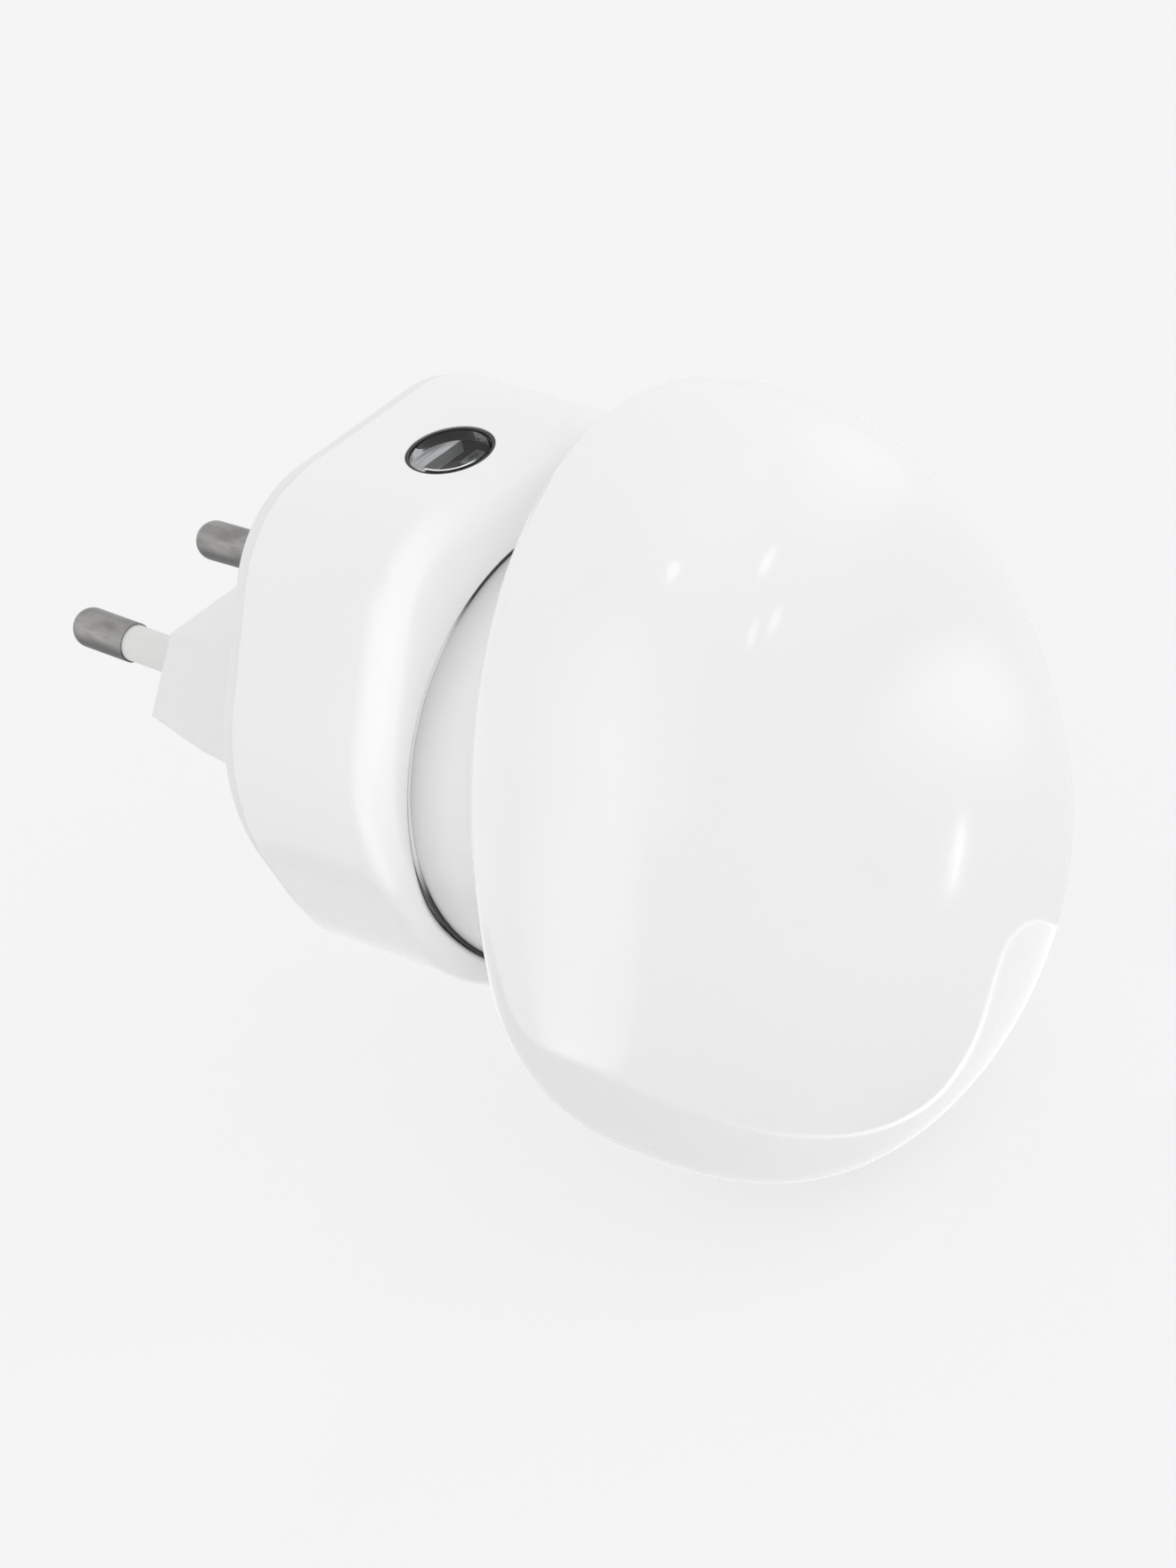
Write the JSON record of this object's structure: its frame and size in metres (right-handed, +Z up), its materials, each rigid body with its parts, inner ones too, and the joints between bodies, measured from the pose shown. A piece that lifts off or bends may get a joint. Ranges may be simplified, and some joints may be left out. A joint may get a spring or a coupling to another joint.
{
  "type": "plug in night light",
  "caption": "Plug-in night light: a flat plug boss with round pins, a rounded housing with a dusk sensor on top, and an egg-shaped opal lamp head that turns about the plug axis.",
  "frame": {"origin": "middle of the plug's end face, half way between the two pins", "axes": "+Y out of the plug's end face into the wall, along the pins and the swivel axis; +Z up; +X to the right for someone facing the lamp"},
  "size_m": [0.061, 0.1005, 0.0778],
  "materials": {
    "body_white": "satin white moulded plastic",
    "opal_white": "glossy opal plastic that spreads the light",
    "sleeve_white": "smooth white insulating plastic",
    "pin_nickel": "nickel-plated brass, lightly brushed",
    "contact_bronze": "bare spring bronze strip",
    "screw_steel": "zinc-plated steel",
    "washer_steel": "bare spring steel",
    "window_clear": "clear moulded plastic, polished",
    "gasket_black": "soft black sealing ring",
    "well_black": "matt dark plastic",
    "photocell_grey": "grey moulded epoxy",
    "lead_tin": "tinned wire",
    "ring_nylon": "natural nylon",
    "board_green": "green lacquered laminate",
    "lamp_board_white": "white lacquered laminate",
    "led_yellow": "phosphor-filled encapsulant in a white frame",
    "reflector_white": "bright white plastic sheet",
    "capacitor_red": "dipped red lacquer",
    "capacitor_black": "black shrink sleeve on an aluminium can",
    "resistor_blue": "lacquered ceramic",
    "chip_black": "moulded black epoxy",
    "socket_white": "white nylon",
    "lead_rubber": "soft white round lead"
  },
  "bodies": {
    "base": {"housing": "body_white", "rear_cover": "body_white", "plug_pin_left": "pin_nickel", "plug_pin_right": "pin_nickel", "pin_sleeve_left": "sleeve_white", "pin_sleeve_right": "sleeve_white", "contact_strip_left": "contact_bronze", "contact_strip_right": "contact_bronze", "cover_screws": "screw_steel", "board_screws": "screw_steel", "sensor_window": "window_clear", "window_gasket": "gasket_black", "sensor_well": "well_black", "photocell": "photocell_grey", "sensor_leads": "lead_tin", "power_board": "board_green", "film_capacitor": "capacitor_red", "electrolytic_capacitor": "capacitor_black", "fusible_resistor": "resistor_blue", "bleed_resistor": "resistor_blue", "bridge_rectifier": "chip_black", "driver_chip": "chip_black", "lead_socket": "socket_white"},
    "head": {"head_back": "body_white", "dome": "opal_white", "wave_washer": "washer_steel", "retaining_ring": "ring_nylon", "ring_screws": "screw_steel", "lamp_board": "lamp_board_white", "led_1": "led_yellow", "led_2": "led_yellow", "led_3": "led_yellow", "led_4": "led_yellow", "led_5": "led_yellow", "led_6": "led_yellow", "reflector": "reflector_white", "lamp_board_screws": "screw_steel", "lamp_lead": "lead_rubber"}
  },
  "joints": [
    {"name": "head_turn", "type": "hinge", "parent": "base", "child": "head", "pos_m": [0, -0.0337, -0.0024], "axis": [0, 1, 0], "range_deg": [-90, 90]}
  ]
}
